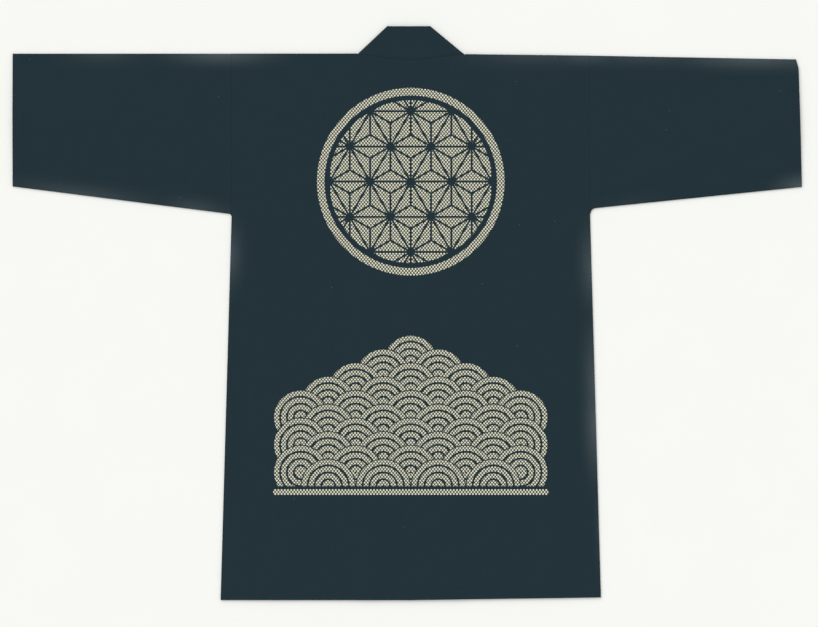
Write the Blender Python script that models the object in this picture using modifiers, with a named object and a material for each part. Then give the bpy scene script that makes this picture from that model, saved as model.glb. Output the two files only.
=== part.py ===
"""A happi coat laid out flat with its back up: back, two fronts, two sleeves and the collar band.

Metres, +Z up. The coat lies on the plane z = 0 with its collar towards +Y and its hem towards -Y.
The scene's origin is on that plane, below the middle of the whole outline. Every piece is drawn in
coat coordinates, x from the centre line and y from the shoulder line, and hangs from one empty.
"""

import math

import bpy
from mathutils import Vector

MM = 0.001

# Cloth
CLOTH = 1.2 * MM  # one layer of cotton
GAP = 0.3 * MM  # between pieces at a seam, and between layers that lie on each other
BAND_CLOTH = 2.4 * MM  # the collar is a doubled band, turned in at both edges
EDGE_ROUND = 0.3 * MM
COTTON_COLOUR = (0.0176, 0.0331, 0.0423, 1.0)  # deep indigo navy
COTTON_ROUGHNESS = 0.9

# Body
BACK_LENGTH = 874.4 * MM  # shoulder line to hem
CHEST_HALF = 286.6 * MM  # centre line to the armhole seam
HEM_HALF = 304.3 * MM  # centre line to the side seam at the hem
HEM_LIFT = 4.2 * MM  # the hem's right corner lies a little higher
SHOULDER_DROP = 3.1 * MM  # the right shoulder's end lies a little lower

# Collar band
COLLAR_RISE = 43.6 * MM  # it stands this far past the shoulder line
NECK_DROP = 8.0 * MM  # the back neckline's middle below its ends
NECK_HALF = 84.3 * MM  # centre line to where the folded band crosses the shoulder line
BAND_TOP_HALF = {"left": 38.1 * MM, "right": 31.6 * MM}  # half of its top edge
BAND_SEAM_X = 62.0 * MM  # the seam with the front, from SLANT_DEPTH down
BAND_FREE_X = 10.0 * MM  # the free edge there
SLANT_DEPTH = 230.0 * MM  # the band slants in from the neck down to here
NECK_CLEAR = 1.2 * MM  # the panels' neck corners keep this much more off the fold

# Sleeves, each side as it lies: its ends measured from the centre line and the shoulder line
SLEEVES = {
    "left": {
        "side": -1,
        "shoulder": 0.0 * MM,
        "underarm": 256.8 * MM,
        "cuff_top": 0.0 * MM,
        "cuff_bottom": 212.5 * MM,
        "reach_top": 637.0 * MM,
        "reach_bottom": 637.1 * MM,
    },
    "right": {
        "side": 1,
        "shoulder": SHOULDER_DROP,
        "underarm": 248.0 * MM,
        "cuff_top": 9.1 * MM,
        "cuff_bottom": 213.3 * MM,
        "reach_top": 620.2 * MM,
        "reach_bottom": 625.9 * MM,
    },
}


def mix(a, b, share):
    return a + (b - a) * share


def smooth(share):
    """0 below 0, 1 above 1, and an even S between."""
    share = min(max(share, 0.0), 1.0)
    return share * share * (3 - 2 * share)


# Body outline

def side_of(x):
    return "left" if x < 0 else "right"


def shoulder_y(x):
    """The shoulder line, which drops a little towards the right sleeve."""
    return -SHOULDER_DROP * max(x, 0.0) / CHEST_HALF


def underarm_y(x):
    across = (x / CHEST_HALF + 1) / 2
    return -mix(SLEEVES["left"]["underarm"], SLEEVES["right"]["underarm"], across)


def hem_y(x):
    return -BACK_LENGTH + HEM_LIFT * max(x, 0.0) / HEM_HALF


# Collar's lines: where the band folds over, and its seams with the body

FOLD_RADIUS = (BAND_CLOTH + GAP) / 2  # of the band's middle surface
FOLD_OUTSIDE = FOLD_RADIUS + BAND_CLOTH / 2


def fold_line(side_name):
    """(seam end, free end, outward normal, direction down the fold) of where the band starts to turn over."""
    base = Vector((NECK_HALF, 0.0))
    top = Vector((BAND_TOP_HALF[side_name], COLLAR_RISE))
    along = (base - top).normalized()
    normal = Vector((-along.y, along.x))
    seam_end = base - normal * FOLD_OUTSIDE
    free_end = seam_end - along * ((COLLAR_RISE - seam_end.y) / -along.y)
    return seam_end, free_end, normal, along


def fold_travel(normal):
    """How far the band's points run down the fold for each unit that they wrap over it."""
    return normal.y / normal.x


def wrapped_seam_end(side_name):
    """The band's seam edge where it comes out below the fold."""
    seam_end, _, normal, along = fold_line(side_name)
    return seam_end + along * (math.pi * FOLD_RADIUS * fold_travel(normal))


def neck_seam_y(x):
    """The band's seam with the back neck: lowest in the middle, highest where the band folds."""
    seam_end = fold_line(side_of(x))[0]
    return seam_end.y - NECK_DROP * (1 - smooth(abs(x) / seam_end.x))


def band_seam_x(depth, side_name, extra=0.0):
    """The seam between band and front, at a depth below the shoulder line."""
    neck = wrapped_seam_end(side_name).x + extra
    return mix(neck, BAND_SEAM_X, smooth(depth / SLANT_DEPTH))


# Scene and materials

for scene_object in list(bpy.data.objects):
    bpy.data.objects.remove(scene_object)

coat = bpy.data.collections.new("happi_coat")
bpy.context.scene.collection.children.link(coat)

origin = bpy.data.objects.new("coat_origin", None)
origin.location = (
    (SLEEVES["left"]["reach_bottom"] - SLEEVES["right"]["reach_bottom"]) / 2,
    (BACK_LENGTH - COLLAR_RISE) / 2,
    0.0,
)
coat.objects.link(origin)


def cotton(piece_name):
    """Plain indigo cotton, one material to each piece."""
    material = bpy.data.materials.new(piece_name + "_cotton")
    material.use_nodes = True
    shader = material.node_tree.nodes["Principled BSDF"]
    shader.inputs["Base Color"].default_value = COTTON_COLOUR
    shader.inputs["Roughness"].default_value = COTTON_ROUGHNESS
    shader.inputs["Metallic"].default_value = 0.0
    material.diffuse_color = COTTON_COLOUR
    return material


def add_piece(name, data):
    piece = bpy.data.objects.new(name, data)
    piece.parent = origin
    piece.data.materials.append(cotton(name))
    coat.objects.link(piece)
    return piece


def loft(name, sections, ring=False):
    """An open surface through sections that all have the same number of points."""
    mesh = bpy.data.meshes.new(name)
    count = len(sections[0])
    points = [point for section in sections for point in section]
    faces = []
    for row in range(len(sections) - 1):
        for column in range(count if ring else count - 1):
            following = (column + 1) % count
            faces.append(
                (
                    row * count + column,
                    row * count + following,
                    (row + 1) * count + following,
                    (row + 1) * count + column,
                )
            )
    mesh.from_pydata(points, [], faces)
    return add_piece(name, mesh)


def give_wall(piece, thickness):
    """The drawn surface is the middle of the cloth."""
    wall = piece.modifiers.new("wall", "SOLIDIFY")
    wall.thickness = thickness
    wall.offset = 0.0
    wall.use_even_offset = True
    piece.data.shade_smooth()


def round_edges(piece):
    rounded = piece.modifiers.new("rounded_edges", "BEVEL")
    rounded.width = EDGE_ROUND
    rounded.segments = 1
    rounded.limit_method = "ANGLE"
    rounded.angle_limit = math.radians(60)


# Fronts: two flat panels on the ground, each from its side seam to the collar's seam

SLANT_STEPS = 9


def front_outline(side_name):
    side = SLEEVES[side_name]["side"]
    outline = []
    for step in range(SLANT_STEPS + 1):
        depth = SLANT_DEPTH * step / SLANT_STEPS
        x = side * (band_seam_x(depth, side_name, NECK_CLEAR) + GAP)
        outline.append((x, min(shoulder_y(x), -depth)))
    hem_inner = side * (BAND_SEAM_X + GAP)
    outline.append((hem_inner, hem_y(hem_inner)))
    outline.append((side * HEM_HALF, hem_y(side * HEM_HALF)))
    outline.append((side * CHEST_HALF, underarm_y(side * CHEST_HALF)))
    outline.append((side * CHEST_HALF, shoulder_y(side * CHEST_HALF)))
    return outline


def make_front(side_name):
    drawn = bpy.data.curves.new("front_" + side_name, "CURVE")
    drawn.dimensions = "2D"
    drawn.fill_mode = "BOTH"
    drawn.extrude = CLOTH / 2
    outline = front_outline(side_name)
    spline = drawn.splines.new("POLY")
    spline.points.add(len(outline) - 1)
    for point, (x, y) in zip(spline.points, outline):
        point.co = (x, y, 0.0, 1.0)
    spline.use_cyclic_u = True
    front = add_piece("front_" + side_name, drawn)
    front.location.z = CLOTH / 2
    weld = front.modifiers.new("weld", "WELD")
    weld.merge_threshold = 0.01 * MM
    round_edges(front)


# Back: one wide panel that lies on the fronts and rises over the two collar bands

BACK_COLUMNS = (0.0, 0.42, 0.58, 0.75, 0.9, 1.0)  # shares of its half width, besides those at the neck
NECK_STEPS = 6  # straight stretches in each half of the neckline, the same in the back and the band
UPPER_ROWS = (0.0, 0.08, 0.25, 0.5, 0.75, 1.0)  # shares of the armhole's depth
LOWER_ROWS = (0.15, 0.35, 0.6, 0.85, 1.0)  # shares of the side seam's length
NECK_STEP = 1.0 * MM  # the width in which the neckline climbs to the shoulder line
BAND_MARGIN = 3.0 * MM  # the back stays at its full height this far past the band
BAND_SLOPE = 40.0 * MM  # and then comes down in this width
LAYER_LIFT = 0.8 * MM  # air under the back between side seam and collar
LIFT_SLOPE = 90.0 * MM  # the width in which that air grows from the side seam


def neck_corner(side_name):
    return wrapped_seam_end(side_name).x + NECK_CLEAR


def back_top_y(x):
    """The back's upper edge: the neckline below the collar, then the shoulder line."""
    if abs(x) > neck_corner(side_of(x)):
        return shoulder_y(x)
    seam_end_x = fold_line(side_of(x))[0].x
    return neck_seam_y(x) - GAP - NECK_CLEAR * smooth(abs(x) / seam_end_x)


def back_rise(x, y, half):
    """How far the back's cloth lies above its height at the side seam."""
    past_band = abs(x) - band_seam_x(-y, side_of(x)) - BAND_MARGIN
    over_band = (BAND_CLOTH - CLOTH) * (1 - smooth(past_band / BAND_SLOPE))
    off_side = smooth((half - abs(x)) / LIFT_SLOPE)
    off_band = smooth((past_band + BAND_SLOPE) / (2 * BAND_SLOPE))
    return over_band + LAYER_LIFT * off_side * off_band


def back_column(share):
    """Points from the upper edge to the hem, at one share of the half width."""
    upper_x = share * CHEST_HALF
    top = back_top_y(upper_x)
    points = []
    for row in UPPER_ROWS:
        points.append((upper_x, mix(top, underarm_y(upper_x), row), CHEST_HALF))
    for row in LOWER_ROWS:
        half = mix(CHEST_HALF, HEM_HALF, row)
        x = share * half
        points.append((x, mix(underarm_y(upper_x), hem_y(x), row), half))
    level = CLOTH + GAP + CLOTH / 2
    return [(x, y, level + back_rise(x, y, half)) for x, y, half in points]


def make_back():
    shares = set()
    for side_name, lay in SLEEVES.items():
        seam_end_x = fold_line(side_name)[0].x
        corner = neck_corner(side_name)
        neck_columns = [seam_end_x * step / NECK_STEPS for step in range(1, NECK_STEPS + 1)]
        neck_columns += [corner, corner + NECK_STEP]
        shares.update(lay["side"] * share for share in BACK_COLUMNS)
        shares.update(lay["side"] * x / CHEST_HALF for x in neck_columns)
    back = loft("back", [back_column(share) for share in sorted(shares)])
    give_wall(back, CLOTH)
    round_edges(back)


# Sleeves: flat tubes, folded along the top and seamed along the underside, open at both ends

SLEEVE_STEPS = 5
TURN_STEPS = 4
TOP_STEPS = 8
CUFF_LIFT = 1.8 * MM  # the open cuff's upper layer stands this far off the lower one


def sleeve_ring(lay, out):
    """One ring through the cloth's middle, with out from 0 at the armhole to 1 at the cuff."""
    top = -mix(lay["shoulder"], lay["cuff_top"], out)
    bottom = -mix(lay["underarm"], lay["cuff_bottom"], out)
    turn = (CLOTH + GAP) / 2
    low = CLOTH / 2
    fold_centre = top - CLOTH / 2 - turn
    seam_centre = bottom + CLOTH / 2 + turn
    drawn = []
    for step in range(TURN_STEPS + 1):
        angle = math.pi * step / TURN_STEPS
        drawn.append((seam_centre - turn * math.sin(angle), low + turn - turn * math.cos(angle)))
    for step in range(1, TOP_STEPS):
        share = step / TOP_STEPS
        lift = CUFF_LIFT * smooth(out) * math.sin(math.pi * share) ** 2
        drawn.append((mix(seam_centre, fold_centre, share), low + 2 * turn + lift))
    for step in range(TURN_STEPS + 1):
        angle = math.pi * step / TURN_STEPS
        drawn.append((fold_centre + turn * math.sin(angle), low + turn + turn * math.cos(angle)))
    ring = []
    for y, z in drawn:
        down = (top - y) / (top - bottom)
        reach = mix(lay["reach_top"], lay["reach_bottom"], down)
        ring.append((lay["side"] * mix(CHEST_HALF + GAP, reach, out), y, z))
    if lay["side"] < 0:
        ring.reverse()
    return ring


def make_sleeve(side_name):
    lay = SLEEVES[side_name]
    rings = [sleeve_ring(lay, step / SLEEVE_STEPS) for step in range(SLEEVE_STEPS + 1)]
    sleeve = loft("sleeve_" + side_name, rings, ring=True)
    give_wall(sleeve, CLOTH)
    round_edges(sleeve)


# Collar: one long band, up one front, over at the neck, across the back neck and down the other

BAND_ROWS = 4
FOLD_STEPS = 8


def band_edges(side_name):
    """(seam edge point, free edge point) pairs from the middle of the back neck to the front hem."""
    seam_end, free_end, normal, along = fold_line(side_name)
    low = BAND_CLOTH / 2
    high = low + 2 * FOLD_RADIUS
    pairs = []
    for step in range(NECK_STEPS):
        share = step / NECK_STEPS
        seam_x = share * seam_end.x
        seam_y = seam_end.y - NECK_DROP * (1 - smooth(share))
        pairs.append((Vector((seam_x, seam_y, high)), Vector((share * free_end.x, COLLAR_RISE, high))))
    for step in range(FOLD_STEPS + 1):
        angle = math.pi * step / FOLD_STEPS
        down_fold = along * (FOLD_RADIUS * angle * fold_travel(normal))
        moved = (down_fold + normal * (FOLD_RADIUS * math.sin(angle))).to_3d()
        moved.z = low + FOLD_RADIUS * (1 + math.cos(angle))
        pairs.append((seam_end.to_3d() + moved, free_end.to_3d() + moved))
    seam_start, free_start = pairs[-1]
    for step in range(1, SLANT_STEPS + 1):
        share = step / SLANT_STEPS
        seam_depth = mix(-seam_start.y, SLANT_DEPTH, share)
        free_depth = mix(-free_start.y, SLANT_DEPTH, share)
        seam = Vector((band_seam_x(seam_depth, side_name), -seam_depth, low))
        free = Vector((mix(free_start.x, BAND_FREE_X, smooth(share)), -free_depth, low))
        pairs.append((seam, free))
    side = SLEEVES[side_name]["side"]
    hem_seam = Vector((BAND_SEAM_X, hem_y(side * BAND_SEAM_X), low))
    hem_free = Vector((BAND_FREE_X, hem_y(side * BAND_FREE_X), low))
    pairs.append((hem_seam, hem_free))
    return pairs


def band_section(pair, side):
    seam, free = pair
    across = [seam.lerp(free, row / BAND_ROWS) for row in range(BAND_ROWS + 1)]
    return [(side * point.x, point.y, point.z) for point in across]


def make_collar():
    left = [band_section(pair, -1) for pair in reversed(band_edges("left"))]
    right = [band_section(pair, 1) for pair in band_edges("right")]
    collar = loft("collar", left + right[1:])
    give_wall(collar, BAND_CLOTH)


make_back()
for side_name in SLEEVES:
    make_front(side_name)
    make_sleeve(side_name)
make_collar()
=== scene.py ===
"""A happi coat of indigo cotton, laid flat on a pale floor with its printed back up.

Metres, +Z up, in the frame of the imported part: collar towards +Y, hem towards -Y. The cloth is drawn
in coat coordinates, x from the centre line and y from the shoulder line, and then set in that frame.
"""

import math

import bpy
import numpy as np
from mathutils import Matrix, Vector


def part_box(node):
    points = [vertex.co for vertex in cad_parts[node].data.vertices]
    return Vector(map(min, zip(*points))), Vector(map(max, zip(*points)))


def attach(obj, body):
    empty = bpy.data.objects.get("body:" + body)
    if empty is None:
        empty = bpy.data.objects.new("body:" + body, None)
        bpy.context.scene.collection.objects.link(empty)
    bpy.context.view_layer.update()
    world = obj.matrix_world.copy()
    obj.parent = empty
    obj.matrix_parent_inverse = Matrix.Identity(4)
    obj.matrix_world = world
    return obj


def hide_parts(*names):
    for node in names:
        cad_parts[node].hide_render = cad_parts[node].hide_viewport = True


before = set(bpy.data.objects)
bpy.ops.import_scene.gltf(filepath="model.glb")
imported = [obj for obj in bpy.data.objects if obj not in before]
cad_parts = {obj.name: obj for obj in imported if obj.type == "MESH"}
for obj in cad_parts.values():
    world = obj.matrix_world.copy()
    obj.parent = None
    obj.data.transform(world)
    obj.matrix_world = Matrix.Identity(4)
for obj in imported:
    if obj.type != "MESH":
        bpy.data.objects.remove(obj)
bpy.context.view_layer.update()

# Back
# The real back is one wide panel of plain-weave cotton, dyed deep indigo and screen printed on its
# outer face. It is cut nearly straight, lies on the two fronts and the collar bands, is sewn to the
# fronts at the shoulders and sides, and its hem is turned up twice and stitched.

MM = 0.001
CLOTH = 1.2 * MM  # one layer of cotton
SEAM_GAP = 0.15 * MM
BAND_CLOTH = 2.4 * MM  # the collar is a doubled band
LAYER_GAP = 0.3 * MM  # between layers that lie on each other

back_low, back_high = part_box("back")
CENTRE_X = (back_low.x + back_high.x) / 2
SHOULDER_Y = back_high.y
BACK_LENGTH = back_high.y - back_low.y
HEM_HALF = (back_high.x - back_low.x) / 2
CHEST_HALF = 286.6 * MM  # centre line to the armhole seam
HEM_LIFT = 4.2 * MM  # the hem's right corner lies a little higher
SHOULDER_DROP = 3.1 * MM  # the right shoulder's end lies a little lower
UNDERARM = {"left": 256.8 * MM, "right": 248.0 * MM}  # below the shoulder line

# The collar's lines, which the back and the fronts follow
COLLAR_RISE = 43.6 * MM  # the band stands this far past the shoulder line
NECK_DROP = 8.0 * MM  # the back neckline's middle below its ends
NECK_HALF = 84.3 * MM  # centre line to where the folded band crosses the shoulder line
BAND_TOP_HALF = {"left": 38.1 * MM, "right": 31.6 * MM}  # half of its top edge
BAND_SEAM_X = 62.0 * MM  # the seam with the front, from SLANT_DEPTH down
BAND_FREE_X = 10.0 * MM  # the free edge there
SLANT_DEPTH = 230.0 * MM  # the band slants in from the neck down to here
FOLD_RADIUS = (BAND_CLOTH + LAYER_GAP) / 2  # of the band's middle surface
FOLD_OUTSIDE = FOLD_RADIUS + BAND_CLOTH / 2


def mix(a, b, share):
    return a + (b - a) * share


def smooth(share):
    """0 below 0, 1 above 1, and an even S between."""
    share = min(max(share, 0.0), 1.0)
    return share * share * (3 - 2 * share)


def side_of(x):
    return "left" if x < 0 else "right"


def fold_line(side_name):
    """(seam end, free end, outward normal, direction down) of the line where the band starts to fold."""
    base = np.array((NECK_HALF, 0.0))
    top = np.array((BAND_TOP_HALF[side_name], COLLAR_RISE))
    along = (base - top) / np.linalg.norm(base - top)
    normal = np.array((-along[1], along[0]))
    seam_end = base - normal * FOLD_OUTSIDE
    free_end = seam_end - along * ((COLLAR_RISE - seam_end[1]) / -along[1])
    return seam_end, free_end, normal, along


def wrapped_seam_end(side_name):
    """The band's seam edge where it comes out below the fold."""
    seam_end, _, normal, along = fold_line(side_name)
    return seam_end + along * (math.pi * FOLD_RADIUS * normal[1] / normal[0])


NECK_CORNER_X = {name: float(wrapped_seam_end(name)[0]) + LAYER_GAP for name in UNDERARM}
NECK_SEAM_END = {name: fold_line(name)[0] for name in UNDERARM}


def neck_seam_y(x):
    end_x, end_y = NECK_SEAM_END[side_of(x)]
    return end_y - NECK_DROP * (1 - smooth(abs(x) / end_x))


def band_seam_x(depth, side_name):
    return mix(NECK_CORNER_X[side_name] - LAYER_GAP, BAND_SEAM_X, smooth(depth / SLANT_DEPTH))


def shoulder_y(x):
    return -SHOULDER_DROP * max(x, 0.0) / CHEST_HALF


def underarm_y(x):
    return -mix(UNDERARM["left"], UNDERARM["right"], (x / CHEST_HALF + 1) / 2)


def hem_y(x):
    return -BACK_LENGTH + HEM_LIFT * max(x, 0.0) / HEM_HALF


# Soft ridges that the upper layer has kept, in coat millimetres: where each starts and ends, the
# half width in which it falls away, and its height
RIDGES = (
    {"start": (-292, -246), "end": (-192, -356), "width": 13, "height": 1.7},
    {"start": (-272, -268), "end": (-226, -480), "width": 17, "height": 1.1},
    {"start": (-296, -238), "end": (-440, -146), "width": 12, "height": 1.5},
    {"start": (-304, -205), "end": (-396, -64), "width": 15, "height": 0.9},
    {"start": (-612, -118), "end": (-462, -92), "width": 14, "height": 0.9},
    {"start": (-284, -560), "end": (-296, -742), "width": 13, "height": 1.1},
    {"start": (292, -238), "end": (208, -334), "width": 12, "height": 1.6},
    {"start": (279, -262), "end": (257, -470), "width": 15, "height": 1.5},
    {"start": (286, -540), "end": (279, -700), "width": 13, "height": 1.0},
    {"start": (300, -226), "end": (462, -158), "width": 13, "height": 1.4},
    {"start": (330, -42), "end": (566, -30), "width": 16, "height": 1.1},
    {"start": (536, -190), "end": (622, -178), "width": 12, "height": 1.3},
    {"start": (-212, -878), "end": (-194, -742), "width": 16, "height": 1.3},
    {"start": (-64, -876), "end": (-71, -812), "width": 12, "height": 0.7},
    {"start": (118, -878), "end": (133, -790), "width": 14, "height": 1.0},
    {"start": (238, -876), "end": (222, -716), "width": 18, "height": 1.4},
    {"start": (-150, -26), "end": (-114, -176), "width": 15, "height": 0.8},
    {"start": (172, -22), "end": (150, -128), "width": 13, "height": 0.7},
)
SWELL = 0.22 * MM  # a slow swell between the ridges, so that no stretch lies dead flat
SWELL_ACROSS = 58 * MM
SWELL_ALONG = 71 * MM


def ridge_height(x, y):
    """The height that ridges and swell give the upper layer at a point in coat coordinates."""
    height = SWELL * (1 + math.sin(x / SWELL_ACROSS + 1.3) * math.sin(y / SWELL_ALONG + 0.4))
    for ridge in RIDGES:
        start_x, start_y = ridge["start"]
        run_x = ridge["end"][0] - start_x
        run_y = ridge["end"][1] - start_y
        off_x = x / MM - start_x
        off_y = y / MM - start_y
        length = math.hypot(run_x, run_y)
        along = (off_x * run_x + off_y * run_y) / length**2
        if 0.0 < along < 1.0:
            across = (off_x * run_y - off_y * run_x) / length
            taper = math.sin(math.pi * along)
            height += ridge["height"] * MM * taper * math.exp(-((across / ridge["width"]) ** 2))
    return height


HEM_DEPTH = 18.0 * MM  # hem edge to the line of stitches
HEM_STEP = 0.35 * MM  # the turned-up cloth lifts the hem by this much
HEM_FADE = 5 * MM  # the width in which it comes down again past the stitches
STITCH_DENT = 0.22 * MM
DENT_WIDTH = 1.3 * MM


def hem_height(inward):
    """A hem's own profile at a distance in from its edge: lifted, and dented along its stitches."""
    lifted = HEM_STEP * (1 - smooth((inward - HEM_DEPTH) / HEM_FADE))
    return lifted - STITCH_DENT * math.exp(-(((inward - HEM_DEPTH) / DENT_WIDTH) ** 2))


BAND_MARGIN = 3.0 * MM  # the back stays at its full height this far past the band
BAND_SLOPE = 40.0 * MM  # and then comes down in this width
LAYER_LIFT = 0.8 * MM  # air under the back between side seam and collar
LIFT_SLOPE = 90.0 * MM  # the width in which that air grows from the side seam
NECK_STEP = 0.4 * MM  # the width in which the neckline climbs to the shoulder line
NECK_LIFT = 0.6 * MM  # the collar, sewn on over the neck edge, holds it up
NECK_SLOPE = 35.0 * MM
EDGE_ROLL = 4.0 * MM  # over this width the back's edge sinks to meet the front's
RIDGE_FREE = 12.0 * MM  # ridges fade out over this distance to a seam
BACK_LEVEL = CLOTH + LAYER_GAP + CLOTH / 2


def back_top_y(x):
    """The back's upper edge: the neckline below the collar, then the shoulder line."""
    if abs(x) > NECK_CORNER_X[side_of(x)] + NECK_STEP / 2:
        return shoulder_y(x)
    return neck_seam_y(x) - SEAM_GAP


def back_height(x, y, half):
    """The middle of the back's cloth above the floor."""
    past_band = abs(x) - band_seam_x(-y, side_of(x)) - BAND_MARGIN
    over_band = (BAND_CLOTH - CLOTH) * (1 - smooth(past_band / BAND_SLOPE))
    off_side = smooth((half - abs(x)) / LIFT_SLOPE)
    off_band = smooth((past_band + BAND_SLOPE) / (2 * BAND_SLOPE))
    side_edge = half - abs(x)
    top_edge = shoulder_y(x) - y if abs(x) > NECK_CORNER_X[side_of(x)] else RIDGE_FREE
    height = BACK_LEVEL + over_band + LAYER_LIFT * off_side * off_band
    free = smooth(min(side_edge, top_edge) / RIDGE_FREE)
    height += ridge_height(x, y) * free + hem_height(y - hem_y(x))
    to_collar = math.hypot(max(abs(x) - NECK_CORNER_X[side_of(x)], 0.0), neck_seam_y(x) - y)
    height += NECK_LIFT * (1 - smooth(to_collar / NECK_SLOPE)) * smooth(top_edge / RIDGE_FREE)
    # Beside a sleeve the edge stays level with it
    side_roll = (1 - smooth(side_edge / EDGE_ROLL)) * smooth((underarm_y(x) - y) / RIDGE_FREE)
    return height - LAYER_GAP * max(side_roll, 1 - smooth(top_edge / EDGE_ROLL))


def back_point(across, down):
    """A point of the back, and its distances on the cloth.

    across runs from -1 to 1 between the side seams; down from 0 at the hem by 1 at the underarm to 2.
    """
    upper_x = across * CHEST_HALF
    if down >= 1:
        x, half = upper_x, CHEST_HALF
        y = mix(underarm_y(x), back_top_y(x), down - 1)
    else:
        half = mix(HEM_HALF, CHEST_HALF, down)
        x = across * half
        y = mix(hem_y(x), underarm_y(upper_x), down)
    return (x, y, back_height(x, y, half)), (x, y)


def in_frame(point):
    """From coat coordinates to the part's frame."""
    x, y, z = point
    return CENTRE_X + x, SHOULDER_Y + y, z


def steps_between(stops, spacing):
    """Rising values through all the stops, in even steps no longer than spacing."""
    values = [stops[0]]
    for start, end in zip(stops, stops[1:]):
        count = max(1, math.ceil((end - start) / spacing - 0.001))
        values += [mix(start, end, step / count) for step in range(1, count + 1)]
    return values


def cloth_sheet(name, columns, rows, place):
    """A grid with one line of points for each value of columns and of rows.

    place gives each point, and its distances across and along the cut cloth for the map that the
    weave and the print follow.
    """
    bpy.ops.object.select_all(action="DESELECT")
    bpy.ops.mesh.primitive_grid_add(
        x_subdivisions=len(columns) - 1, y_subdivisions=len(rows) - 1, size=1.0, location=(0, 0, 0)
    )
    sheet = bpy.context.object
    sheet.name = sheet.data.name = name
    on_cloth = []
    for point in sheet.data.vertices:
        column = round((point.co.x + 0.5) * (len(columns) - 1))
        row = round((point.co.y + 0.5) * (len(rows) - 1))
        placed, distances = place(columns[column], rows[row])
        point.co = in_frame(placed)
        on_cloth.append(distances)
    cloth_map = sheet.data.uv_layers.active
    cloth_map.name = "cloth"
    for corner in sheet.data.loops:
        cloth_map.uv[corner.index].vector = on_cloth[corner.vertex_index]
    return sheet


def turn_over(sheet):
    """Turns the sheet's outer face to its other side."""
    bpy.ops.object.mode_set(mode="EDIT")
    bpy.ops.mesh.select_all(action="SELECT")
    bpy.ops.mesh.flip_normals()
    bpy.ops.object.mode_set(mode="OBJECT")


def finish_cloth(piece, outer, inner, thickness=CLOTH, edge_round=0.25 * MM):
    """Gives the drawn middle surface its thickness, rounded edges and the finish of each face."""
    piece.data.materials.append(outer)
    piece.data.materials.append(inner)
    wall = piece.modifiers.new("wall", "SOLIDIFY")
    wall.thickness = thickness
    wall.offset = 0.0
    wall.use_even_offset = True
    wall.material_offset = 1
    bpy.ops.object.modifier_apply(modifier=wall.name)
    rounded = piece.modifiers.new("rounded_edges", "BEVEL")
    rounded.width = edge_round
    rounded.segments = 3
    rounded.limit_method = "ANGLE"
    rounded.angle_limit = math.radians(60)
    bpy.ops.object.modifier_apply(modifier=rounded.name)
    bpy.ops.object.shade_smooth_by_angle(angle=math.radians(50))
    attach(piece, "root")


BAKE_SPAN = 0.985  # share of the square map that the outer face's length fills
BAKE_BORDER = 6.0 * MM
RIM_SPREAD = 5.0 * MM  # width given to the thin rim on the map


def spread_for_baking(piece):
    """Adds a map for baked textures: the outer face large, its rim round it, the inner face small."""
    points = piece.data.vertices
    low_x = min(point.co.x for point in points) - BAKE_BORDER
    low_y = min(point.co.y for point in points) - BAKE_BORDER
    width = max(point.co.x for point in points) + BAKE_BORDER - low_x
    length = max(point.co.y for point in points) + BAKE_BORDER - low_y
    scale = BAKE_SPAN / length
    inner_scale = (1 - width * scale) * BAKE_SPAN / width
    bake_map = piece.data.uv_layers.new(name="OFBake")
    for face in piece.data.polygons:
        inner = face.material_index == 1 and face.normal.z < -0.7
        for corner in face.loop_indices:
            point = points[piece.data.loops[corner].vertex_index]
            x = point.co.x - low_x
            y = point.co.y - low_y
            if inner:
                spot = (1 - x * inner_scale, y * inner_scale)
            else:
                turned = math.acos(min(max(point.normal.z, -1.0), 1.0)) / math.pi
                outward = point.normal.xy.normalized() * RIM_SPREAD * turned
                spot = ((x + outward.x) * scale, (y + outward.y) * scale)
            bake_map.uv[corner].vector = spot


def linear(hex_colour):
    """An sRGB hex colour as linear light, with alpha 1."""
    values = [int(hex_colour[place : place + 2], 16) / 255 for place in (1, 3, 5)]
    return [v / 12.92 if v <= 0.04045 else ((v + 0.055) / 1.055) ** 2.4 for v in values] + [1.0]


def add_node(tree, kind, settings=None, inputs=None):
    """Adds a node, sets its properties, and sets or links each input named or numbered in inputs."""
    node = tree.nodes.new(kind)
    for key, value in (settings or {}).items():
        setattr(node, key, value)
    for key, value in (inputs or {}).items():
        if isinstance(value, bpy.types.NodeSocket):
            tree.links.new(value, node.inputs[key])
        else:
            node.inputs[key].default_value = value
    return node


def maths(tree, operation, first, second=0.0, third=0.0):
    """The result of one sum."""
    inputs = {0: first, 1: second, 2: third}
    return add_node(tree, "ShaderNodeMath", {"operation": operation}, inputs).outputs[0]


def blend_colours(tree, share, first, second):
    inputs = {0: share, "A": first, "B": second}
    return add_node(tree, "ShaderNodeMix", {"data_type": "RGBA"}, inputs).outputs["Result"]


# Painted highlights where the folded edges round over and catch light, in coat millimetres: the middle
# of each patch, on an edge, how far it reaches in x and y, how pale its middle is, and the edge's slant
# in degrees
LEFT_SHOULDER_HIGHLIGHT = {"at": (-304, 0), "reach": (152, 32), "strength": 0.93, "turn": 0.0}
RIGHT_SHOULDER_HIGHLIGHT = {"at": (280, -3), "reach": (117, 28), "strength": 0.6, "turn": 0.0}
BACK_HIGHLIGHTS = (
    LEFT_SHOULDER_HIGHLIGHT,
    RIGHT_SHOULDER_HIGHLIGHT,
    {"at": (198, -2), "reach": (185, 32), "strength": 0.42, "turn": 0.0},
    {"at": (-289, -323), "reach": (34, 90), "strength": 0.68, "turn": -1.6},
    {"at": (289, -342), "reach": (33, 112), "strength": 0.72, "turn": 1.6},
    {"at": (295, -528), "reach": (33, 165), "strength": 0.76, "turn": 1.6},
    {"at": (297, -592), "reach": (33, 147), "strength": 1.0, "turn": 1.6},
    {"at": (301, -758), "reach": (13, 120), "strength": 0.25, "turn": 1.6},
)
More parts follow.
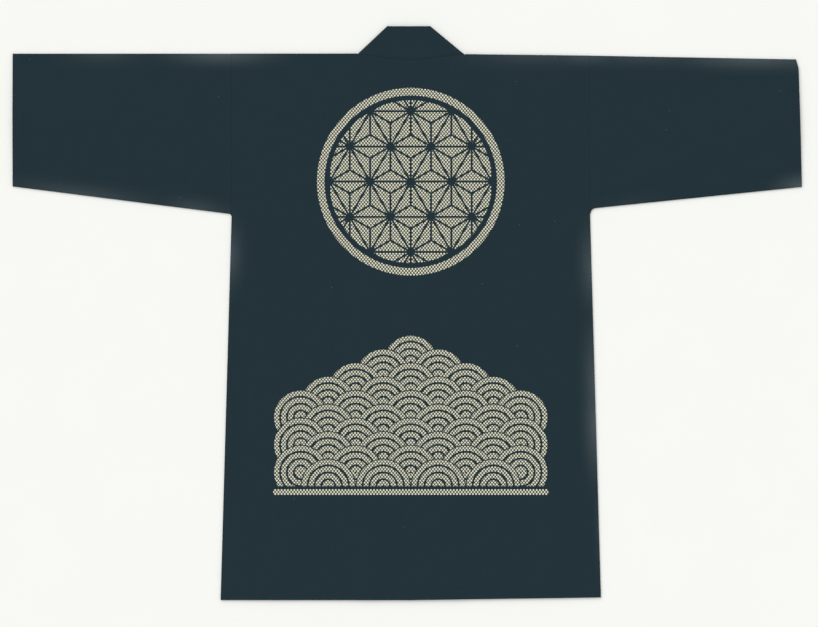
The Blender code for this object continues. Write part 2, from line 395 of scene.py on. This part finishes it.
SLEEVE_HIGHLIGHTS = (
    LEFT_SHOULDER_HIGHLIGHT,
    RIGHT_SHOULDER_HIGHLIGHT,
    {"at": (-491, 0), "reach": (125, 32), "strength": 0.35, "turn": 0.0},
    {"at": (-526, -226), "reach": (213, 32), "strength": 0.5, "turn": -7.2},
    {"at": (-345, -249), "reach": (92, 32), "strength": 0.5, "turn": -7.2},
    {"at": (350, -242), "reach": (80, 28), "strength": 0.16, "turn": 5.8},
    {"at": (368, -4), "reach": (210, 28), "strength": 0.42, "turn": -1.0},
    {"at": (546, -8), "reach": (205, 30), "strength": 0.88, "turn": -1.0},
    {"at": (622, -213), "reach": (68, 34), "strength": 0.9, "turn": 5.8},
)
# Real slubs are near 0.6 mm wide and threads 0.5 mm apart. Both are drawn coarser, so that they show
SLUB = (1.6, 45.0)  # width and length in mm
THREAD = 0.9  # mm from thread to thread
LINT_CELL = 60.0  # mm from one place for a speck to the next
LINT_RADIUS = 0.6
LINT_BARE = 0.9  # share of those places that stay bare


def slub_shade(tree, spot):
    """Long soft streaks both ways of the weave, near 0.5."""
    streaks = []
    for width, length in (SLUB, SLUB[::-1]):
        scale = (1 / (width * MM), 1 / (length * MM), 0.0)
        stretched = add_node(tree, "ShaderNodeMapping", None, {"Vector": spot, "Scale": scale})
        inputs = {"Vector": stretched.outputs[0], "Scale": 1.0, "Detail": 1.0}
        streaks.append(add_node(tree, "ShaderNodeTexNoise", None, inputs).outputs["Fac"])
    return maths(tree, "MULTIPLY", maths(tree, "ADD", streaks[0], streaks[1]), 0.5)


def woven_height(tree, across, along):
    """Warp over weft in turn, from -1 to 1."""
    turns = math.pi / (THREAD * MM)
    warp = maths(tree, "SINE", maths(tree, "MULTIPLY", across, turns))
    weft = maths(tree, "SINE", maths(tree, "MULTIPLY", along, turns))
    return maths(tree, "MULTIPLY", warp, weft)


def painted_highlight_share(tree, place, patches):
    """How much the painted highlights along the edges pale the cloth, from 0 to 1."""
    share = 0.0
    for patch in patches:
        inputs = {
            "Vector": place,
            "Location": in_frame((patch["at"][0] * MM, patch["at"][1] * MM, 0.0)),
            "Rotation": (0.0, 0.0, math.radians(patch["turn"])),
            "Scale": [reach * MM for reach in patch["reach"]] + [0.0],
        }
        moved = add_node(tree, "ShaderNodeMapping", {"vector_type": "TEXTURE"}, inputs).outputs[0]
        round_patch = {"gradient_type": "QUADRATIC_SPHERE"}
        fall = add_node(tree, "ShaderNodeTexGradient", round_patch, {0: moved}).outputs["Fac"]
        share = maths(tree, "MAXIMUM", share, maths(tree, "MULTIPLY", fall, patch["strength"]))
    return share


def lint_share(tree, place):
    """1 on a few stray specks of lint."""
    inputs = {"Vector": place, "Scale": 1 / (LINT_CELL * MM)}
    specks = add_node(tree, "ShaderNodeTexVoronoi", {"voronoi_dimensions": "2D"}, inputs)
    small = maths(tree, "LESS_THAN", specks.outputs["Distance"], LINT_RADIUS / LINT_CELL)
    chance = add_node(tree, "ShaderNodeSeparateColor", None, {0: specks.outputs["Color"]}).outputs[0]
    return maths(tree, "MULTIPLY", small, maths(tree, "GREATER_THAN", chance, LINT_BARE))


NAVY = "#1F3037"  # with its nap lit this reads as #24333A
NAVY_REVERSE = "#27383F"
# The paler navy that the painted highlights along the edges mix towards
HIGHLIT_NAVY = "#4C585D"
LINT = "#5A6970"
SLUB_SHADES = (0.9, 1.1)  # how dark and how light the streaks make the cloth


def cotton(name, colour_hex, highlights, printed=None):
    """Piece-dyed plain-weave cotton: matt, faintly napped, slubbed both ways, paled at edges by painted
    highlights.
    """
    material = bpy.data.materials.new(name)
    material.use_nodes = True
    tree = material.node_tree
    shader = tree.nodes["Principled BSDF"]
    place = add_node(tree, "ShaderNodeTexCoord").outputs["Object"]
    spot = add_node(tree, "ShaderNodeUVMap", {"uv_map": "cloth"}).outputs[0]
    parts = add_node(tree, "ShaderNodeSeparateXYZ", None, {0: spot})
    slub = slub_shade(tree, spot)
    # Painted highlights: the navy paled in patches along the folded edges, where they round over and
    # catch light
    pale = painted_highlight_share(tree, place, highlights)
    colour = blend_colours(tree, pale, linear(colour_hex), linear(HIGHLIT_NAVY))
    shades = []
    for value in SLUB_SHADES:
        inputs = {"Value": value, "Color": colour}
        shades.append(add_node(tree, "ShaderNodeHueSaturation", None, inputs).outputs[0])
    colour = blend_colours(tree, slub, shades[0], shades[1])
    colour = blend_colours(tree, lint_share(tree, place), colour, linear(LINT))
    if printed:
        colour = printed(tree, parts.outputs[0], parts.outputs[1], colour)
    tree.links.new(colour, shader.inputs["Base Color"])
    inputs = {
        "Height": woven_height(tree, parts.outputs[0], parts.outputs[1]),
        "Strength": 0.6,
        "Distance": 0.2 * MM,
    }
    woven = add_node(tree, "ShaderNodeBump", None, inputs).outputs[0]
    inputs = {"Height": slub, "Strength": 0.6, "Distance": 0.6 * MM, "Normal": woven}
    tree.links.new(add_node(tree, "ShaderNodeBump", None, inputs).outputs[0], shader.inputs["Normal"])
    shader.inputs["Roughness"].default_value = 0.9
    shader.inputs["Specular IOR Level"].default_value = 0.1
    shader.inputs["Sheen Weight"].default_value = 0.04
    shader.inputs["Sheen Roughness"].default_value = 0.5
    return material


# The printed design, in coat millimetres: a ringed disc of hemp leaf above a mound of wave scales
DISC_Y = -205.0
RING_OUTER = 150.0
RING_INNER = 138.0
DISC_RADIUS = 130.0
LEAF_EDGE = 65.0  # side of the triangles that the leaves are drawn in
LINE = 3.2  # width of the bare line between leaves and between bands
SCALE_RADIUS = 44.0
SCALE_RISE = 22.0  # from one row of scales to the next
PEAK_Y = -494.0  # the middle of the single scale at the top
LAST_ROW = 9
WIDEST_ROW = 4
SCALE_BANDS = 4  # rings in each scale
GROUND_LINE = (5.0, 14.0)  # the stripe under the lowest row: where it starts and ends below it
DOT_CELL = (5.1, 6.1)  # the stipple's staggered dots, across and down
DOT_RADIUS = 1.48
CREAM = "#E4E3CE"
BETWEEN_DOTS = "#363A30"


def hemp_leaf(tree, x, y):
    """1 on the leaves and 0 on the lines between them: triangles, each with spokes from its middle."""
    height = LEAF_EDGE * math.sqrt(3) / 2
    shares = []
    for angle in (90, 210, 330):
        turned_x = maths(tree, "MULTIPLY", x, math.cos(math.radians(angle)) / height)
        turned = maths(tree, "MULTIPLY_ADD", y, math.sin(math.radians(angle)) / height, turned_x)
        shares.append(maths(tree, "FLOORED_MODULO", turned, 1.0))
    total = maths(tree, "ADD", maths(tree, "ADD", shares[0], shares[1]), shares[2])
    flipped = maths(tree, "GREATER_THAN", total, 1.5)
    inside = []
    for share in shares:
        inside.append(maths(tree, "ABSOLUTE", maths(tree, "SUBTRACT", share, flipped)))
    least = maths(tree, "MINIMUM", maths(tree, "MINIMUM", inside[0], inside[1]), inside[2])
    most = maths(tree, "MAXIMUM", maths(tree, "MAXIMUM", inside[0], inside[1]), inside[2])
    middle = maths(tree, "SUBTRACT", maths(tree, "SUBTRACT", 1.0, least), most)
    from_edge = maths(tree, "MULTIPLY", least, height)
    from_spoke = maths(tree, "MULTIPLY", maths(tree, "SUBTRACT", middle, least), LEAF_EDGE / 2)
    return maths(tree, "GREATER_THAN", maths(tree, "MINIMUM", from_edge, from_spoke), LINE / 2)


def one_row_of_scales(tree, x, y, row):
    """(1 inside this row's circles, 1 on their bands)."""
    centre_y = maths(tree, "MULTIPLY_ADD", row, -SCALE_RISE, PEAK_Y)
    start_x = maths(tree, "MULTIPLY", maths(tree, "FLOORED_MODULO", row, 2.0), SCALE_RADIUS)
    steps = maths(tree, "DIVIDE", maths(tree, "SUBTRACT", x, start_x), 2 * SCALE_RADIUS)
    centre_x = maths(tree, "MULTIPLY_ADD", maths(tree, "ROUND", steps), 2 * SCALE_RADIUS, start_x)
    off_x = maths(tree, "SUBTRACT", x, centre_x)
    off_y = maths(tree, "SUBTRACT", y, centre_y)
    squared = maths(tree, "MULTIPLY_ADD", off_x, off_x, maths(tree, "MULTIPLY", off_y, off_y))
    reach = maths(tree, "DIVIDE", maths(tree, "SQRT", squared), SCALE_RADIUS)
    widest = maths(tree, "ADD", maths(tree, "MINIMUM", row, WIDEST_ROW), 0.2)
    limit = maths(tree, "MULTIPLY", widest, SCALE_RADIUS)
    drawn = maths(tree, "LESS_THAN", maths(tree, "ABSOLUTE", centre_x), limit)
    drawn = maths(tree, "MULTIPLY", drawn, maths(tree, "GREATER_THAN", row, -0.5))
    drawn = maths(tree, "MULTIPLY", drawn, maths(tree, "LESS_THAN", reach, 1.0))
    bands = maths(tree, "MULTIPLY", reach, float(SCALE_BANDS))
    off_line = maths(tree, "ABSOLUTE", maths(tree, "SUBTRACT", bands, maths(tree, "ROUND", bands)))
    band = maths(tree, "GREATER_THAN", off_line, SCALE_BANDS * LINE / 2 / SCALE_RADIUS)
    return drawn, maths(tree, "MULTIPLY", drawn, band)


def wave_mound(tree, x, y):
    """1 on the bands of overlapping round scales, each row before the one above, and on their ground."""
    below_top = maths(tree, "SUBTRACT", PEAK_Y + SCALE_RADIUS, y)
    front_row = maths(tree, "FLOOR", maths(tree, "DIVIDE", below_top, SCALE_RISE))
    front_row = maths(tree, "MINIMUM", front_row, float(LAST_ROW))
    shown = 0.0
    covered = 0.0
    for behind in range(3):
        row = maths(tree, "SUBTRACT", front_row, float(behind))
        drawn, banded = one_row_of_scales(tree, x, y, row)
        shown = maths(tree, "MULTIPLY_ADD", banded, maths(tree, "SUBTRACT", 1.0, covered), shown)
        covered = maths(tree, "MAXIMUM", covered, drawn)
    base_y = PEAK_Y - LAST_ROW * SCALE_RISE
    mound = maths(tree, "MULTIPLY", shown, maths(tree, "GREATER_THAN", y, base_y))
    stripe_y = base_y - sum(GROUND_LINE) / 2
    stripe = maths(tree, "COMPARE", y, stripe_y, (GROUND_LINE[1] - GROUND_LINE[0]) / 2)
    stripe_half = (WIDEST_ROW + 1) * SCALE_RADIUS
    on_stripe = maths(tree, "LESS_THAN", maths(tree, "ABSOLUTE", x), stripe_half)
    return maths(tree, "MAXIMUM", mound, maths(tree, "MULTIPLY", stripe, on_stripe))


def stipple(tree, x, y):
    """1 on round dots in two lattices, the second set in the middles of the first one's cells."""
    half_x, half_y = DOT_CELL[0] / 2, DOT_CELL[1] / 2
    first_x = maths(tree, "PINGPONG", x, half_x)
    first_y = maths(tree, "PINGPONG", y, half_y)
    second_x = maths(tree, "SUBTRACT", half_x, first_x)
    second_y = maths(tree, "SUBTRACT", half_y, first_y)
    first = maths(tree, "MULTIPLY_ADD", first_x, first_x, maths(tree, "MULTIPLY", first_y, first_y))
    second = maths(tree, "MULTIPLY_ADD", second_x, second_x, maths(tree, "MULTIPLY", second_y, second_y))
    return maths(tree, "LESS_THAN", maths(tree, "MINIMUM", first, second), DOT_RADIUS**2)


def stippled_print(tree, across, along, cloth_colour):
    """Screen print: cream dots in a staggered lattice, on a grey film that dulls the navy between."""
    x = maths(tree, "MULTIPLY", across, 1 / MM)
    y = maths(tree, "MULTIPLY", along, 1 / MM)
    disc_y = maths(tree, "SUBTRACT", y, DISC_Y)
    squared = maths(tree, "MULTIPLY_ADD", x, x, maths(tree, "MULTIPLY", disc_y, disc_y))
    radius = maths(tree, "SQRT", squared)
    ring = maths(tree, "COMPARE", radius, (RING_OUTER + RING_INNER) / 2, (RING_OUTER - RING_INNER) / 2)
    disc = maths(tree, "LESS_THAN", radius, DISC_RADIUS)
    leaves = maths(tree, "MULTIPLY", disc, hemp_leaf(tree, x, disc_y))
    shape = maths(tree, "MAXIMUM", maths(tree, "MAXIMUM", ring, leaves), wave_mound(tree, x, y))
    ink = blend_colours(tree, stipple(tree, x, y), linear(BETWEEN_DOTS), linear(CREAM))
    return blend_colours(tree, shape, cloth_colour, ink)


printed_cotton = cotton("indigo_dyed_cotton_screen_printed", NAVY, BACK_HIGHLIGHTS, stippled_print)
navy_cotton = cotton("indigo_dyed_cotton", NAVY, SLEEVE_HIGHLIGHTS)
reverse_cotton = cotton("indigo_dyed_cotton_reverse", NAVY_REVERSE, ())

# The sheets' lines of points: evenly spaced, and closer in from each edge and round a hem's stitches
SPACING = 7.0 * MM
EDGE_STOPS = (0.0, 1.5 * MM, 4.0 * MM, 8.0 * MM)
HEM_STOPS = tuple(stop * MM for stop in (0.0, 1.5, 6.0, 12.0, 15.5, 17.0, 18.0, 19.0, 20.5, 25.0))

lower_length = BACK_LENGTH - UNDERARM["left"]
upper_length = UNDERARM["left"]
side_shares = [1 - stop / CHEST_HALF for stop in EDGE_STOPS]
neck_shares = {}
for side_name, corner in NECK_CORNER_X.items():
    neck_shares[side_name] = [corner / CHEST_HALF, (corner + NECK_STEP) / CHEST_HALF]
left_stops = [-share for share in side_shares + neck_shares["left"][::-1]]
right_stops = neck_shares["right"] + side_shares[::-1]
back_columns = steps_between(left_stops + [0.0] + right_stops, SPACING / CHEST_HALF)
back_rows = steps_between([stop / lower_length for stop in HEM_STOPS] + [1.0], SPACING / lower_length)
upper_stops = [0.0] + [1 - stop / upper_length for stop in EDGE_STOPS[::-1]]
back_rows += [1 + row for row in steps_between(upper_stops, SPACING / upper_length)[1:]]

back = cloth_sheet("back_cloth", back_columns, back_rows, back_point)
finish_cloth(back, printed_cotton, reverse_cotton)
spread_for_baking(back)
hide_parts("back")

# Hem stitching
# A real hem is held by one line of lockstitch in navy thread, its stitches a little sunk into the
# cloth. One stitch is modelled and repeated along the line.

STITCH_PITCH = 3.0 * MM
STITCH_LENGTH = 2.5 * MM
THREAD_RADIUS = 0.2 * MM
# The twist's grooves painted darker as painted shade, its ridges lighter as painted highlight
THREAD_GROOVE_SHADED = "#16262E"
THREAD_RIDGE_LIT = "#24353E"


def spun_thread():
    """Spun thread, navy like the cloth but a little glossier, its twist as fine slanted ridges with
    painted shade in the grooves.
    """
    material = bpy.data.materials.new("navy_spun_sewing_thread")
    material.use_nodes = True
    tree = material.node_tree
    shader = tree.nodes["Principled BSDF"]
    place = add_node(tree, "ShaderNodeTexCoord").outputs["Object"]
    inputs = {"Vector": place, "Rotation": (0.0, 0.0, math.radians(40))}
    slanted = add_node(tree, "ShaderNodeMapping", None, inputs).outputs[0]
    inputs = {"Vector": slanted, "Scale": 1 / (1.2 * MM)}
    twist = add_node(tree, "ShaderNodeTexWave", None, inputs).outputs["Fac"]
    colour = blend_colours(tree, twist, linear(THREAD_GROOVE_SHADED), linear(THREAD_RIDGE_LIT))
    tree.links.new(colour, shader.inputs["Base Color"])
    inputs = {"Height": twist, "Strength": 0.4, "Distance": 0.05 * MM}
    tree.links.new(add_node(tree, "ShaderNodeBump", None, inputs).outputs[0], shader.inputs["Normal"])
    shader.inputs["Roughness"].default_value = 0.6
    shader.inputs["Specular IOR Level"].default_value = 0.25
    return material


sewing_thread = spun_thread()


def point_along(path, distance):
    """The point at a distance along a path of 3-D points, and its direction there."""
    for start, end in zip(path, path[1:]):
        run = end - start
        length = np.linalg.norm(run)
        if distance <= length:
            return start + run * (distance / length), run / length
        distance -= length
    return path[-1], run / length


def sew(name, path):
    """A line of stitches on top of the cloth along a path in coat coordinates."""
    path = [np.array(point) for point in path]
    length = sum(np.linalg.norm(end - start) for start, end in zip(path, path[1:]))
    bpy.ops.object.select_all(action="DESELECT")
    bpy.ops.mesh.primitive_uv_sphere_add(
        segments=6,
        ring_count=4,
        radius=1.0,
        location=(STITCH_LENGTH / 2, 0, 0),
        rotation=(0, math.radians(90), 0),
        scale=(THREAD_RADIUS, THREAD_RADIUS, STITCH_LENGTH / 2),
    )
    line = bpy.context.object
    line.name = line.data.name = name
    bpy.ops.object.transform_apply(location=True, rotation=True, scale=True)
    repeated = line.modifiers.new("repeated", "ARRAY")
    repeated.count = int(length / STITCH_PITCH)
    repeated.use_relative_offset = False
    repeated.use_constant_offset = True
    repeated.constant_offset_displace = (STITCH_PITCH, 0, 0)
    bpy.ops.object.modifier_apply(modifier=repeated.name)
    for point in line.data.vertices:
        stitch = math.floor(point.co.x / STITCH_PITCH + 0.01)
        middle = stitch * STITCH_PITCH + STITCH_LENGTH / 2
        centre, direction = point_along(path, middle)
        sideways = np.array((-direction[1], direction[0], 0.0))
        moved = centre + direction * (point.co.x - middle) + sideways * point.co.y
        moved[2] += point.co.z + THREAD_RADIUS * 0.3
        point.co = in_frame(moved)
    line.data.materials.append(sewing_thread)
    bpy.ops.object.shade_smooth()
    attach(line, "root")


STITCH_INSET = 9.0 * MM  # a line of stitches ends this far from a seam
hem_share = 1 - STITCH_INSET / HEM_HALF
hem_path = []
for across in steps_between([-hem_share, hem_share], 0.02):
    x, y, z = back_point(across, HEM_DEPTH / lower_length)[0]
    hem_path.append((x, y, z + CLOTH / 2))
sew("back_hem_stitches", hem_path)

# Fronts
# The two real fronts are straight panels of the same cotton, cut away in a slant to the neck. They
# lie face down on the floor, sewn to the back at shoulder and side and to the collar band along their
# inner edge, with the same turned hem.

CORNER_DEPTH = 1.7 * MM  # down to here the front's neck corner reaches in along the collar's fold
CORNER_SLANT = 0.78  # this much inward for each unit up


def front_inner_x(y, side_name):
    return band_seam_x(-y, side_name) + LAYER_GAP - CORNER_SLANT * max(CORNER_DEPTH + y, 0.0)


def front_place(side_name):
    side = -1 if side_name == "left" else 1

    def place(across, down):
        """across runs from 0 at the collar's seam to 1 at the side seam, down as on the back."""
        if down >= 1:
            half = CHEST_HALF
            y = mix(underarm_y(side * half), shoulder_y(side * half), down - 1)
        else:
            half = mix(HEM_HALF, CHEST_HALF, down)
            y = mix(hem_y(side * half), underarm_y(side * CHEST_HALF), down)
        x = side * mix(front_inner_x(y, side_name), half, across)
        return (x, y, CLOTH / 2), (x, y)

    return place


front_width = HEM_HALF - BAND_SEAM_X
front_stops = [stop / front_width for stop in EDGE_STOPS]
front_stops += [1 - stop for stop in front_stops[::-1]]
front_columns = steps_between(front_stops, 2 * SPACING / front_width)
for side_name in UNDERARM:
    place = front_place(side_name)
    front = cloth_sheet("front_" + side_name + "_cloth", front_columns, back_rows, place)
    if side_name == "right":
        turn_over(front)
    finish_cloth(front, navy_cotton, reverse_cotton)
    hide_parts("front_" + side_name)

# Sleeves
# Each real sleeve is one straight piece, folded along the shoulder line and seamed below into a tube
# that narrows a little to the cuff. It is sewn to the armhole, its cuff is turned in twice and
# stitched, and it lies flat with its open cuff barely parted.

SLEEVES = {
    "left": {
        "side": -1,
        "cuff_top": 0.0,
        "cuff_bottom": 212.5,
        "reach_top": 637.0,
        "reach_bottom": 637.1,
        "turn": 3.0,
        "cut": 0.0,
    },
    "right": {
        "side": 1,
        "cuff_top": 9.1,
        "cuff_bottom": 213.3,
        "reach_top": 620.2,
        "reach_bottom": 625.9,
        "turn": 9.0,
        "cut": 3.4,
    },
}
CUFF_LIFT = 1.8 * MM  # the open cuff's upper layer stands this far off the lower one
CUT_DEPTH = 16.0 * MM  # the right cuff's top corner is drawn in by its cut, down to here
RING_TURN = (CLOTH + LAYER_GAP) / 2  # radius of the tube's folds
SLEEVE_START = CHEST_HALF + SEAM_GAP


def sleeve_place(side_name):
    cuff = SLEEVES[side_name]
    depth = UNDERARM[side_name]

    def place(around, out):
        """A point of the tube at a share out to the cuff.

        around runs from 0 to 1 on the lower half of the seam's fold, to 2 along the lower layer, to 3
        round the top fold, to 4 along the upper layer and to 5 on the upper half of the seam's fold.
        """
        top = mix(shoulder_y(cuff["side"] * CHEST_HALF), -cuff["cuff_top"] * MM, out)
        bottom = mix(-depth, -cuff["cuff_bottom"] * MM, out)
        # The underarm's corner is rounded where the sleeve's seam runs into the body's side
        corner = cuff["turn"] * MM
        from_body = out * (cuff["reach_bottom"] * MM - SLEEVE_START)
        if from_body < corner:
            bottom -= corner - math.sqrt(corner**2 - (corner - from_body) ** 2)
        seam_centre = bottom + CLOTH / 2 + RING_TURN
        fold_centre = top - CLOTH / 2 - RING_TURN
        middle = CLOTH / 2 + RING_TURN
        angle = math.pi * (around % 1.0)
        if around < 1:
            y = seam_centre - RING_TURN * math.cos(angle / 2)
            z = middle - RING_TURN * math.sin(angle / 2)
        elif around < 2:
            y, z = mix(seam_centre, fold_centre, around - 1), CLOTH / 2
        elif around < 3:
            y = fold_centre + RING_TURN * math.sin(angle)
            z = middle - RING_TURN * math.cos(angle)
        elif around < 4:
            y = mix(fold_centre, seam_centre, around - 3)
            z = middle + RING_TURN
        else:
            angle = math.pi / 2 * (around - 4)
            y = seam_centre - RING_TURN * math.sin(angle)
            z = middle + RING_TURN * math.cos(angle)
        down = (top - y) / (top - bottom)
        reach = mix(cuff["reach_top"], cuff["reach_bottom"], down) * MM
        reach -= cuff["cut"] * MM * (1 - smooth((top - y) / CUT_DEPTH))
        x = cuff["side"] * mix(SLEEVE_START, reach, out)
        if 3 < around < 4:
            inset = min(fold_centre - y, y - seam_centre)
            z += CUFF_LIFT * smooth(out) * math.sin(math.pi * (around - 3)) ** 2
            z += ridge_height(x, y) * smooth(inset / RIDGE_FREE) * smooth(from_body / RIDGE_FREE)
            z += hem_height(reach - abs(x)) * smooth(inset / EDGE_ROLL)
        lower = around < 2.5
        return (x, y, z), (abs(x) if lower else -abs(x), y)

    return place


for side_name, cuff in SLEEVES.items():
    sleeve_length = cuff["reach_bottom"] * MM - CHEST_HALF
    depth = UNDERARM[side_name]
    layer_stops = [stop / depth for stop in EDGE_STOPS]
    layer = steps_between(layer_stops + [1 - stop for stop in layer_stops[::-1]], SPACING / depth)
    half_turn = steps_between([0.0, 1.0], 0.34)
    full_turn = steps_between([0.0, 1.0], 0.17)
    ring = half_turn
    for number, part in enumerate((layer, full_turn, layer, half_turn)):
        ring = ring + [1 + number + share for share in part[1:]]
    out_stops = [stop / sleeve_length for stop in EDGE_STOPS]
    out_stops += [1 - stop / sleeve_length for stop in HEM_STOPS[::-1]]
    out_rows = steps_between(out_stops, SPACING / sleeve_length)
    place = sleeve_place(side_name)
    sleeve = cloth_sheet("sleeve_" + side_name + "_cloth", ring, out_rows, place)
    bpy.ops.object.mode_set(mode="EDIT")
    bpy.ops.mesh.select_all(action="SELECT")
    bpy.ops.mesh.remove_doubles(threshold=0.01 * MM)
    bpy.ops.object.mode_set(mode="OBJECT")
    if side_name == "left":
        turn_over(sleeve)
    finish_cloth(sleeve, navy_cotton, reverse_cotton)
    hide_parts("sleeve_" + side_name)
    cuff_path = []
    for share in steps_between([STITCH_INSET / depth, 1 - STITCH_INSET / depth], 0.04):
        x, y, z = place(3 + share, 1 - HEM_DEPTH / sleeve_length)[0]
        cuff_path.append((x, y, z + CLOTH / 2))
    sew("cuff_stitches_" + side_name, cuff_path)

# Collar band
# The real collar is one long strip of the same cotton, doubled and pressed, its raw edges turned in.
# It takes the raw edge of fronts and neck between its layers, runs up one front, folds over at each
# side of the neck so that it stands a little past the shoulders, and runs down the other front.

# The share of each stretch from one cross-section of the band to the next
NECK_SHARE = 0.07
FOLD_SHARE = 0.07
SLANT_SHARE = 0.04
STRAIGHT_SHARE = 0.03


def band_edges(side_name):
    """(seam edge, free edge) pairs in coat coordinates, from the middle of the neck to the front hem."""
    seam_end, free_end, normal, along = fold_line(side_name)
    low = BAND_CLOTH / 2
    high = low + 2 * FOLD_RADIUS
    pairs = []
    for share in steps_between([0.0, 1.0], NECK_SHARE)[:-1]:
        seam_x = share * seam_end[0]
        seam_y = seam_end[1] - NECK_DROP * (1 - smooth(share))
        pairs.append(((seam_x, seam_y, high), (share * free_end[0], COLLAR_RISE, high)))
    for share in steps_between([0.0, 1.0], FOLD_SHARE):
        angle = math.pi * share
        moved = along * (FOLD_RADIUS * angle * normal[1] / normal[0])
        moved = moved + normal * (FOLD_RADIUS * math.sin(angle))
        z = low + FOLD_RADIUS * (1 + math.cos(angle))
        pairs.append(((*(seam_end + moved), z), (*(free_end + moved), z)))
    (seam_x, seam_y, _), (free_x, free_y, _) = pairs[-1]
    for share in steps_between([0.0, 1.0], SLANT_SHARE)[1:]:
        seam_depth = mix(-seam_y, SLANT_DEPTH, share)
        free_depth = mix(-free_y, SLANT_DEPTH, share)
        seam = (band_seam_x(seam_depth, side_name), -seam_depth, low)
        pairs.append((seam, (mix(free_x, BAND_FREE_X, smooth(share)), -free_depth, low)))
    side = -1 if side_name == "left" else 1
    for share in steps_between([0.0, 1.0], STRAIGHT_SHARE)[1:]:
        seam = (BAND_SEAM_X, mix(-SLANT_DEPTH, hem_y(side * BAND_SEAM_X), share), low)
        free = (BAND_FREE_X, mix(-SLANT_DEPTH, hem_y(side * BAND_FREE_X), share), low)
        pairs.append((seam, free))
    return pairs


band_sections = [[(-x, y, z) for x, y, z in pair] for pair in reversed(band_edges("left"))]
band_sections += band_edges("right")[1:]
band_distances = [0.0]
for earlier, later in zip(band_sections, band_sections[1:]):
    steps = [np.linalg.norm(np.subtract(a, b)) for a, b in zip(earlier, later)]
    band_distances.append(band_distances[-1] + sum(steps) / 2)
band_width = COLLAR_RISE + NECK_DROP


def band_place(across, along):
    seam, free = band_sections[band_distances.index(along)]
    return tuple(mix(a, b, across) for a, b in zip(seam, free)), (across * band_width, along)


band_stops = [stop / band_width for stop in EDGE_STOPS]
band_columns = steps_between(band_stops + [1 - stop for stop in band_stops[::-1]], SPACING / band_width)
collar = cloth_sheet("collar_band", band_columns, band_distances, band_place)
finish_cloth(collar, navy_cotton, navy_cotton, BAND_CLOTH, 0.5 * MM)
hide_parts("collar")

TOPSTITCH = 3.0 * MM  # in from the band's seam edge
neck_path = []
for seam, free in band_sections:
    if seam[2] > BAND_CLOTH / 2 + 1.9 * FOLD_RADIUS:
        x, y, z = (mix(a, b, TOPSTITCH / band_width) for a, b in zip(seam, free))
        neck_path.append((x, y, z + BAND_CLOTH / 2))
sew("collar_stitches", neck_path)

# Floor, light and camera
# A pale, nearly white sheet under the coat, soft light from all round with a little more from the
# upper left, and a long lens straight above.

PAPER_DARK = "#F5F6F1"
PAPER_LIGHT = "#F7F8F3"

bpy.ops.object.select_all(action="DESELECT")
bpy.ops.mesh.primitive_plane_add(size=40.0, location=(0, 0, 0))
floor = bpy.context.object
floor.name = "floor"
# Matt paper, with the faintest mottle in its white
floor_material = bpy.data.materials.new("matt_white_paper")
floor_material.use_nodes = True
floor_tree = floor_material.node_tree
floor_place = add_node(floor_tree, "ShaderNodeTexCoord").outputs["Object"]
inputs = {"Vector": floor_place, "Scale": 9.0, "Detail": 3.0}
mottle = add_node(floor_tree, "ShaderNodeTexNoise", None, inputs).outputs["Fac"]
floor_colour = blend_colours(floor_tree, mottle, linear(PAPER_DARK), linear(PAPER_LIGHT))
floor_shader = floor_tree.nodes["Principled BSDF"]
floor_tree.links.new(floor_colour, floor_shader.inputs["Base Color"])
floor_shader.inputs["Roughness"].default_value = 1.0
floor_shader.inputs["Specular IOR Level"].default_value = 0.0
floor.data.materials.append(floor_material)

world = bpy.data.worlds.new("soft_studio")
bpy.context.scene.world = world
world.use_nodes = True
world.node_tree.nodes["Background"].inputs["Color"].default_value = linear("#FFFFFF")
world.node_tree.nodes["Background"].inputs["Strength"].default_value = 0.76

key_data = bpy.data.lights.new("soft_key", "SUN")
key_data.energy = 1.25
key_data.angle = math.radians(50)
key = bpy.data.objects.new("soft_key", key_data)
key.rotation_euler = (math.radians(-38), math.radians(-34), 0.0)
bpy.context.scene.collection.objects.link(key)

PIXEL = 1.6 * MM  # one pixel of the photograph at the coat
FRAME_WIDTH = 818 * PIXEL
PHOTO_CENTRE = (409.0, 313.5)
COAT_CENTRE = (407.25, 313.2)  # the middle of the coat's outline, in the photograph's pixels
LENS = 100.0
SENSOR = 36.0
camera_data = bpy.data.cameras.new("camera")
camera_data.lens = LENS
camera_data.sensor_width = SENSOR
camera = bpy.data.objects.new("camera", camera_data)
camera.location = (
    (PHOTO_CENTRE[0] - COAT_CENTRE[0]) * PIXEL,
    -(PHOTO_CENTRE[1] - COAT_CENTRE[1]) * PIXEL,
    FRAME_WIDTH * LENS / SENSOR + 3 * MM,
)
bpy.context.scene.collection.objects.link(camera)
bpy.context.scene.camera = camera
bpy.context.scene.view_settings.view_transform = "Standard"
